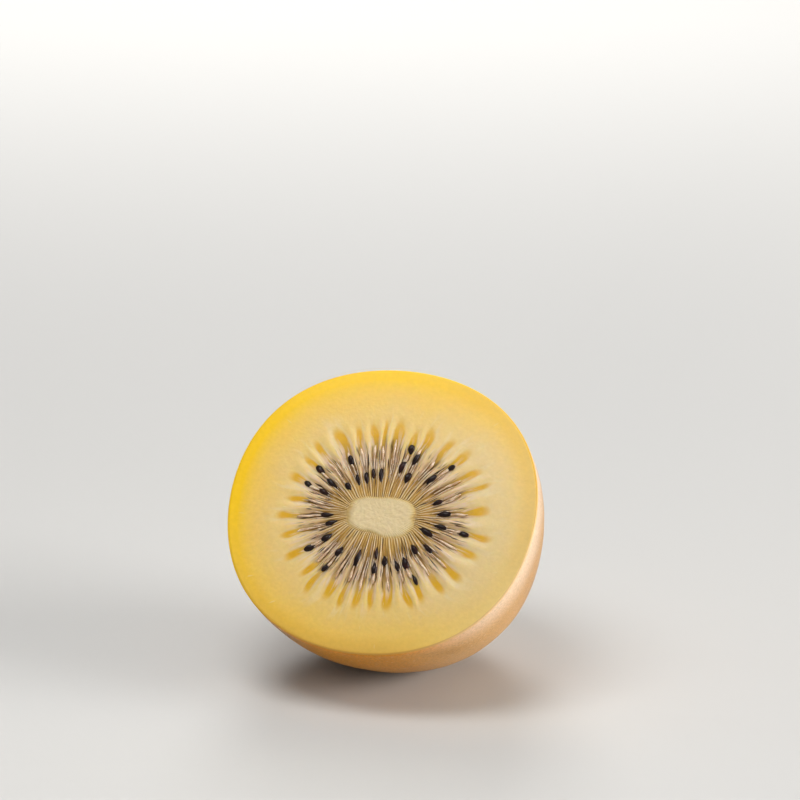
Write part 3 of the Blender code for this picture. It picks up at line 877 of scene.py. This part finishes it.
def sepal_finish():
    """Dried sepals: grey-brown, papery and dull, with fine veins and pale curled edges."""
    colours = bpy.context.scene.kiwi_colours
    finish, add = new_finish("dried_sepal")
    place = add("TexCoord", out="Object")
    edge = add("Attribute", attribute_name="edge", out="Fac")
    patch = add("TexNoise", {"Vector": place, "Scale": 0.42 / MM, "Detail": 4.0, "Roughness": 0.6})
    fine = add("TexNoise", {"Vector": place, "Scale": 2.6 / MM, "Detail": 3.0})
    share = add("MapRange", (patch, 0.34, 0.5), **STEP)
    colour = add("Mix", {0: share, 6: colours.sepal_dark, 7: colours.sepal}, **MIX)
    bend = add("TexNoise", {"Vector": place, "Scale": 0.7 / MM}, out="Color")
    bent = add("VectorMath", (bend, (0.002, 0.002, 0.002), place), operation="MULTIPLY_ADD")
    veins = add("TexVoronoi", {"Vector": bent, "Scale": 1 / MM}, out="Distance", feature="DISTANCE_TO_EDGE")
    vein = add("MapRange", (veins, 0.0, 0.09, 0.22, 0.0), **STEP)
    uneven = add("Math", (patch, 0.5, edge), operation="MULTIPLY_ADD")
    pale = add("MapRange", (uneven, 1.02, 1.2, 0.0, 0.9), **STEP)
    pale = add("Math", (pale, vein), operation="MAXIMUM")
    colour = add("Mix", {0: pale, 6: colour, 7: colours.crust}, **MIX)
    colour = grained(add, colour, fine, 0.3, 0.7, 0.75, 1.2)
    relief = add("Math", (vein, 1.5, fine), operation="MULTIPLY_ADD")
    bump = add("Bump", {"Height": relief, "Strength": 0.6, "Distance": 0.15 * MM})
    shader = add("BsdfPrincipled", {"Base Color": colour, "Roughness": 0.8, "Normal": bump})
    add("OutputMaterial", {"Surface": shader})
    return finish


def floor_finish():
    """A matte painted board."""
    finish, add = new_finish("matte_floor")
    shader = add("BsdfPrincipled", {"Base Color": bpy.context.scene.kiwi_colours.floor, "Roughness": 0.7})
    add("OutputMaterial", {"Surface": shader})
    return finish


# ---- Operators ----


class KIWI_OT_peel(bpy.types.Operator):
    """Models the thin peel, a cup that is pressed flat where it rests"""

    bl_idname = "kiwi.peel"
    bl_label = "Peel"

    def execute(self, context):
        sizes = context.scene.kiwi_sizes
        thickness = sizes.peel_thickness
        outer = side_profile(0, PEEL_RINGS)
        inner = side_profile(thickness, PEEL_INNER_RINGS)
        inner[0] = (inner[0][0], -LIP_ROUNDING * 0.2)
        outer[0] = (outer[0][0] - LIP_ROUNDING * 0.2, -LIP_ROUNDING)
        edge = [(inner[0][0] + LIP_ROUNDING * 0.2, -LIP_ROUNDING * 0.1)]
        edge.append((outer[0][0] - LIP_ROUNDING, -LIP_ROUNDING * 0.1))
        peel = turned_piece("peel", (inner[::-1] + edge + outer)[::-1], PEEL_STEPS)
        x, y, z, reach, turn = turned_places(peel)
        outside = (reach / HALF_WIDTH) ** FULLNESS + (np.abs(z) / DEPTH) ** FULLNESS > INNER_FULL
        moved = np.where(outside[:, None], side_points(x, y, z, 0), side_points(x, y, z, thickness))
        pleats = STEM_END_PLEATS * np.exp(-((reach / STEM_END_REACH) ** 2)) * (z < -DEPTH / 2)
        pleats = pleats * waves(math.tau * turn / sizes.locules, (23, 31, 41, 53), 7)
        ripple = lumps(moved, (6, 0.12, 0), (2, 0.03, 1)) + pleats
        fade = smooth(0.3 * MM, 3 * MM, -z) * outside
        outward = moved / np.linalg.norm(moved, axis=1)[:, None]
        moved = moved + outward * (ripple * fade)[:, None]
        wrap_map(peel, "wrap", turn / sizes.locules, -z / DEPTH, 1.0)
        from_stem = np.arctan2(reach, -z) * (HALF_WIDTH + DEPTH) / 2
        ray_map(peel, turn, from_stem)
        world = stand_up(moved)
        world[:, 2] = np.maximum(world[:, 2], np.where(outside, 0, thickness))
        move_points(peel, world)
        dress(peel, peel_finish(), "skin", "skin")
        return {"FINISHED"}


class KIWI_OT_flesh(bpy.types.Operator):
    """Models the gold flesh, with its fan of locules on the cut face"""

    bl_idname = "kiwi.flesh"
    bl_label = "Flesh"

    def execute(self, context):
        sizes = context.scene.kiwi_sizes
        inset = sizes.peel_thickness
        rim = HALF_WIDTH - inset
        well = CORE_HALF_WIDTH * WELL_SHARE
        bottom = -(CORE_LENGTH + WELL_GAP)
        profile = [(0.0, bottom), (well * CORE_TIP_SHARE, bottom), (well, -0.6 * MM)]
        profile += [(reach, 0.0) for reach in np.arange(well, FAN_RINGS_END, FAN_RING)]
        rings = np.linspace(FAN_RINGS_END + 0.3 * MM, rim + 0.1 * MM, RIM_RINGS)
        profile += [(reach, 0.0) for reach in rings]
        profile += [(rim + LIP_LAP, -0.01 * MM), (rim + LIP_LAP, -0.03 * MM), (rim, -0.15 * MM)]
        profile += side_profile(inset, FLESH_SIDE_RINGS)[1:]
        flesh = turned_piece("flesh", profile, sizes.locules * FLESH_STEPS)
        x, y, z, reach, turn = turned_places(flesh)
        face = z > -0.5 * MM
        bore = (reach <= well * 1.001) & (z > -DEPTH * 0.9)
        on_face = face_points(turn, reach, z)
        on_face[:, 2] += np.where(face, face_relief(turn, reach), 0.0)
        moved = np.where((face | bore)[:, None], on_face, side_points(x, y, z, inset))
        roughness = lumps(moved[face], (0.9, 0.005, 2), (0.4, 0.008, 3))
        moved[face, 2] += roughness * smooth(6.0 * MM, 8.0 * MM, reach[face])
        wrap_map(flesh, "fan", turn, reach / MM, sizes.locules)
        ray_map(flesh, turn, reach)
        world = stand_up(moved)
        world[:, 2] = np.maximum(world[:, 2], inset)
        move_points(flesh, world)
        dress(flesh, flesh_finish(), "flesh", "flesh")
        return {"FINISHED"}


class KIWI_OT_core(bpy.types.Operator):
    """Models the cream core, whose edge frays into the fan"""

    bl_idname = "kiwi.core"
    bl_label = "Core"

    def execute(self, context):
        sizes = context.scene.kiwi_sizes
        edge = CORE_HALF_WIDTH * 1.12
        profile = [(reach, 0.0) for reach in np.linspace(0.0, edge, CORE_RINGS)]
        tip = CORE_HALF_WIDTH * CORE_TIP_SHARE
        profile += [(edge * 0.98, -0.5 * MM), (tip, -CORE_LENGTH), (0.0, -CORE_LENGTH)]
        core = turned_piece("core", profile, sizes.locules * CORE_STEPS)
        x, y, z, reach, turn = turned_places(core)
        moved = face_points(turn, reach, z)
        crown = 0.10 * MM - 0.38 * MM * smooth(CORE_HALF_WIDTH * 0.76, edge, reach) ** 1.2
        fray = FIBRE_RISE * np.cos(math.tau * FIBRES_PER_LOCULE * turn + 1.5 * waves(turn, (1, 2), 4))
        fray = fray * smooth(CORE_HALF_WIDTH * 0.6, CORE_HALF_WIDTH, reach)
        top = crown + fray + lumps(moved, (0.6, 0.05, 4), (0.25, 0.03, 5))
        moved[:, 2] += np.where(z > -0.3 * MM, top, 0.0)
        wrap_map(core, "fan", turn, reach / MM, sizes.locules)
        move_points(core, stand_up(moved))
        dress(core, core_finish(), "core", "core")
        return {"FINISHED"}


def seed_places(locules):
    """(turn, reach, length share) of each seed on the cut face, the same as in the solids."""
    draw = random.Random(DRAW_SEED)
    places = []
    for locule in range(locules):
        count = 0 if draw.random() < EMPTY_LOCULES else 1 + (draw.random() < SECOND_SEEDS)
        reach = FIRST_SEED + FIRST_SEED_SPREAD * draw.random()
        for _ in range(count):
            turn = locule + 0.5 + draw.uniform(-SEED_SWAY, SEED_SWAY)
            places.append((turn, reach, draw.uniform(*SEED_LENGTH_SHARES)))
            reach += NEXT_SEED_STEP + NEXT_SEED_SPREAD * draw.random()
    return places


class KIWI_OT_seeds(bpy.types.Operator):
    """Models one seed and sows copies of it along the locules"""

    bl_idname = "kiwi.seeds"
    bl_label = "Seeds"

    def execute(self, context):
        sizes = context.scene.kiwi_sizes
        bpy.ops.mesh.primitive_uv_sphere_add(segments=20, ring_count=14, radius=0.5)
        model = context.object
        ball = points_of(model)
        x, y, z = ball.T
        width = (0.58 + 0.42 * smooth(-0.5, 0.15, z)) * sizes.seed_width
        length = sizes.seed_length
        shape = np.stack((x * width + 0.10 * length * (0.25 - z * z), y * width * 0.8, z * length), 1)
        move_points(model, shape * (1 + 0.16 * grain(ball, 0.5, 11))[:, None])
        draw = random.Random(DRAW_SEED + 1)
        seeds = []
        for turn, reach, share in seed_places(sizes.locules):
            here, ahead = face_points([turn, turn], [reach, reach + MM], -SEED_SINK)
            along = Vector(ahead - here)
            along.z += draw.uniform(-0.12, 0.2) * MM
            place = Matrix.Translation(here) @ along.to_track_quat("Z", "Y").to_matrix().to_4x4()
            size = Matrix.Diagonal((draw.uniform(0.55, 1.15), 1, share * draw.uniform(0.7, 1.1), 1))
            place = PLACE @ place @ Matrix.Rotation(draw.uniform(-0.5, 0.5), 4, "Z")
            seeds.append(copy_of(model, place @ size))
        bpy.data.objects.remove(model)
        dress(joined("seeds", seeds), seed_finish(), "flesh", "flesh")
        return {"FINISHED"}


class KIWI_OT_arils(bpy.types.Operator):
    """Draws the wet strands of aril that run along each locule"""

    bl_idname = "kiwi.arils"
    bl_label = "Arils"

    def execute(self, context):
        sizes = context.scene.kiwi_sizes
        draw = random.Random(DRAW_SEED + 2)
        bpy.ops.curve.primitive_nurbs_path_add()
        arils = context.object
        arils.name = "arils"
        curve = arils.data
        curve.splines.clear()
        curve.bevel_depth = 1.0
        curve.bevel_resolution = 3
        curve.use_fill_caps = True
        curve.resolution_u = 5
        for locule in range(sizes.locules):
            # A strand's place off the locule's middle, its ends in mm, and its share of the widest.
            strands = [(draw.uniform(-0.08, 0.08), draw.uniform(8.0, 9.6), draw.uniform(12.6, 14.2), 0.5)]
            for side in (-1, 1):
                aside = side * draw.uniform(0.14, 0.3)
                strands.append((aside, draw.uniform(7.0, 8.4), draw.uniform(10.4, 12.6), 0.24))
            for aside, near, far, share in strands:
                turn, half_width = locule + 0.5 + aside, share * sizes.aril_width
                self.draw_strand(curve, draw, turn, near * MM, far * MM, half_width)
        bpy.ops.object.convert(target="MESH")
        bpy.ops.object.mode_set(mode="EDIT")
        bpy.ops.mesh.select_all(action="SELECT")
        bpy.ops.mesh.remove_doubles(threshold=MM / 1000)
        bpy.ops.object.mode_set(mode="OBJECT")
        face_outwards()
        dress(arils, aril_finish(), "flesh", "flesh")
        return {"FINISHED"}

    def draw_strand(self, curve, draw, turn, near, far, half_width):
        """Adds one strand along a ray of the fan: a thread by the core that swells to a round wet end."""
        share = np.arange(STRAND_STATIONS) / (STRAND_STATIONS - 1)
        turns = turn + np.array([draw.uniform(-0.025, 0.025) for _ in share])
        heights = -0.22 * MM + 0.2 * MM * share + np.array([draw.uniform(-0.05, 0.08) * MM for _ in share])
        points = stand_up(face_points(turns, near + (far - near) * share, heights))
        spline = curve.splines.new("NURBS")
        spline.points.add(STRAND_STATIONS - 1)
        spline.use_endpoint_u = True
        spline.order_u = 3
        for spot, point, along in zip(spline.points, points, share):
            spot.co = (*point, 1.0)
            swell = (0.3 + 0.7 * along**1.3) * min(1.0, 7 * (1 - along) + 0.25)
            spot.radius = half_width * swell * draw.uniform(0.8, 1.2)


class KIWI_OT_calyx(bpy.types.Operator):
    """Models the dried sepals, the stub of the stem and the crust round them"""

    bl_idname = "kiwi.calyx"
    bl_label = "Calyx"

    def execute(self, context):
        sizes = context.scene.kiwi_sizes
        draw = random.Random(DRAW_SEED + 3)
        pieces = [self.sepal(draw, index, sizes.sepal_length) for index in range(SEPALS)]
        pieces.append(self.stub())
        pieces += self.crumbs(draw, CRUMBS)
        calyx = joined("calyx", pieces)
        dress(calyx, sepal_finish(), "calyx", "calyx")
        return {"FINISHED"}

    def mark_edge(self, piece, edge):
        """Says how near each point lies to a sepal's pale edge, from 0 to 1."""
        marks = piece.data.attributes.new("edge", "FLOAT", "POINT")
        marks.data.foreach_set("value", np.asarray(edge, float))

    def sepal(self, draw, index, length):
        """One papery sepal: a blade that widens outwards, domed and ribbed, with its edge curled up."""
        bpy.ops.mesh.primitive_grid_add(x_subdivisions=26, y_subdivisions=34, size=2)
        sepal = bpy.context.object
        side, along, _ = points_of(sepal).T
        share = (along + 1) / 2
        turn = math.tau * (index + draw.uniform(-0.2, 0.2)) / SEPALS
        length = length * draw.uniform(0.8, 1.1)
        blade = np.sin(math.pi * share**1.35) ** 0.7
        width = draw.uniform(2.5, 3.5) * MM * (0.12 + 0.35 * (1 - share) ** 2 + 0.88 * blade)
        out = 0.9 * MM + length * share
        aside = side * width + draw.uniform(-1.6, 1.6) * MM * share**2
        flat = np.stack((out, aside, np.zeros_like(out)), 1)
        ragged = lumps(flat, (1.3, 0.3, index)) * smooth(0.5, 1.0, np.maximum(np.abs(side), share))
        out, aside = out + ragged, aside + ragged
        x = out * math.cos(turn) - aside * math.sin(turn)
        y = out * math.sin(turn) + aside * math.cos(turn)
        dome = 0.65 * MM * (1 - side * side) * blade + 0.08 * MM * np.cos(side * 9.0) * blade
        curl = 0.8 * MM * np.abs(side) ** 5 * share + 0.7 * MM * share**6 * draw.uniform(0.0, 1.0)
        wrinkle = lumps(flat, (1.8, 0.3, index + 9), (0.6, 0.1, index + 18))
        lift = (0.15 + 0.55 * (index % 3) / 2) * MM
        height = stem_end_height(x, y) - lift - dome - curl - wrinkle * smooth(0.0, 0.3, share)
        move_points(sepal, stand_up(np.stack((x, y, height), 1)))
        self.mark_edge(sepal, np.maximum(np.abs(side), share**3))
        shell = sepal.modifiers.new("Thickness", "SOLIDIFY")
        shell.thickness = SEPAL_THICKNESS
        shell.offset = 0.0
        bpy.ops.object.modifier_apply(modifier=shell.name)
        return sepal

    def stub(self):
        """The torn end of the stem: a ragged, hollow ring."""
        stub = turned_piece("stub", [(radius * MM, height * MM) for radius, height in STUB_PROFILE], 48)
        subdivision = stub.modifiers.new("Rounding", "SUBSURF")
        subdivision.levels = 2
        bpy.ops.object.modifier_apply(modifier=subdivision.name)
        points = points_of(stub)
        around = np.arctan2(points[:, 1], points[:, 0])
        points[:, :2] *= (1 + 0.07 * waves(around, (5, 8, 13), 8))[:, None]
        points[:, 2] += lumps(points, (0.7, 0.25, 7), (0.3, 0.12, 8))
        points[:, 2] += stem_end_height(0.0, 0.0) - STUB_SINK
        move_points(stub, stand_up(points))
        self.mark_edge(stub, 0.25 + 0.3 * grain(points, 0.8 * MM, 6))
        return stub

    def crumbs(self, draw, count):
        """Small lumps of crust, scattered over the peel round the sepals."""
        bpy.ops.mesh.primitive_ico_sphere_add(subdivisions=2, radius=0.5)
        model = bpy.context.object
        lumpy = points_of(model)
        move_points(model, lumpy * (1 + 0.35 * grain(lumpy, 0.45, 12))[:, None])
        self.mark_edge(model, np.zeros(len(lumpy)))
        crumbs = []
        for _ in range(count):
            turn, out = draw.uniform(0, math.tau), (draw.uniform(3.5, 8.8) + draw.uniform(-1.0, 0.6)) * MM
            x, y = out * math.cos(turn), out * math.sin(turn)
            z = stem_end_height(x, y)
            size = draw.uniform(0.2, 0.6) * MM
            shape = Matrix.Diagonal((size * draw.uniform(0.7, 1.5), size, size * 0.5, 1))
            place = PLACE @ Matrix.Translation((x, y, z)) @ Matrix.Rotation(turn, 4, "Z")
            crumb = copy_of(model, place @ shape)
            crumb.data.attributes["edge"].data.foreach_set("value", [draw.uniform(0.2, 1.1)] * len(lumpy))
            crumbs.append(crumb)
        bpy.data.objects.remove(model)
        return crumbs


class KIWI_OT_stage(bpy.types.Operator):
    """Lays the floor and sets the lights and the camera"""

    bl_idname = "kiwi.stage"
    bl_label = "Stage"

    def execute(self, context):
        bpy.ops.mesh.primitive_plane_add(size=4)
        floor = context.object
        floor.name = "floor"
        floor.data.materials.append(floor_finish())
        for softbox in SOFTBOXES:
            self.lamp(*softbox)
        for x, y in BACKDROP_SIDES:
            place = (BACKDROP_OUT * x, BACKDROP_OUT * y, BACKDROP_RISE)
            aim = (BACKDROP_AIM * x, BACKDROP_AIM * y, 0.0)
            self.lamp("backdrop_softbox", place, BACKDROP_SIZE, BACKDROP_POWER, aim)
        world = bpy.data.worlds.new("pale_room")
        world.use_nodes = True
        room = world.node_tree.nodes["Background"].inputs
        room["Color"].default_value = ROOM_COLOUR
        room["Strength"].default_value = ROOM_STRENGTH
        context.scene.world = world
        context.scene.view_settings.view_transform = "Standard"
        self.camera(context)
        return {"FINISHED"}

    def lamp(self, name, place, size, power, aim=FACE_MIDDLE):
        """A square softbox that faces the fruit, or a place on the floor."""
        bpy.ops.object.light_add(type="AREA", location=place)
        lamp = bpy.context.object
        lamp.name = name
        lamp.data.energy = power
        lamp.data.size = size
        lamp.rotation_euler = (Vector(aim) - Vector(place)).to_track_quat("-Z", "Y").to_euler()

    def camera(self, context):
        """A long lens at the height of a standing product shot."""
        across, back = math.sin(CAMERA_AZIMUTH), -math.cos(CAMERA_AZIMUTH)
        level = math.cos(CAMERA_ELEVATION)
        away = Vector((across * level, back * level, math.sin(CAMERA_ELEVATION)))
        turned = (-away).to_track_quat("-Z", "Y")
        aim = FACE_MIDDLE + turned @ Vector((AIM_RIGHT, AIM_UP, 0))
        bpy.ops.object.camera_add(location=aim + away * CAMERA_DISTANCE, rotation=turned.to_euler())
        context.object.data.lens = CAMERA_LENS
        context.object.data.clip_start = 0.01
        context.scene.camera = context.object


class KIWI_PT_sidebar(bpy.types.Panel):
    """Lists the pieces of the kiwi half"""

    bl_idname = "KIWI_PT_sidebar"
    bl_label = "Golden kiwi half"
    bl_space_type = "VIEW_3D"
    bl_region_type = "UI"
    bl_category = "Golden kiwi"

    def draw(self, context):
        for operator in OPERATORS:
            self.layout.operator(operator.bl_idname)
        for group in (context.scene.kiwi_sizes, context.scene.kiwi_colours):
            for name in group.__annotations__:
                self.layout.prop(group, name)


OPERATORS = (
    KIWI_OT_peel,
    KIWI_OT_flesh,
    KIWI_OT_core,
    KIWI_OT_seeds,
    KIWI_OT_arils,
    KIWI_OT_calyx,
    KIWI_OT_stage,
)
CLASSES = (KiwiSizes, KiwiColours, *OPERATORS, KIWI_PT_sidebar)


def register():
    for entry in CLASSES:
        bpy.utils.register_class(entry)
    bpy.types.Scene.kiwi_sizes = PointerProperty(type=KiwiSizes)
    bpy.types.Scene.kiwi_colours = PointerProperty(type=KiwiColours)


def unregister():
    del bpy.types.Scene.kiwi_colours
    del bpy.types.Scene.kiwi_sizes
    for entry in reversed(CLASSES):
        bpy.utils.unregister_class(entry)


def main():
    register()
    bpy.ops.object.select_all(action="DESELECT")
    bpy.ops.kiwi.peel()
    bpy.ops.kiwi.flesh()
    bpy.ops.kiwi.core()
    bpy.ops.kiwi.seeds()
    bpy.ops.kiwi.arils()
    bpy.ops.kiwi.calyx()
    bpy.ops.kiwi.stage()


if __name__ == "__main__":
    main()
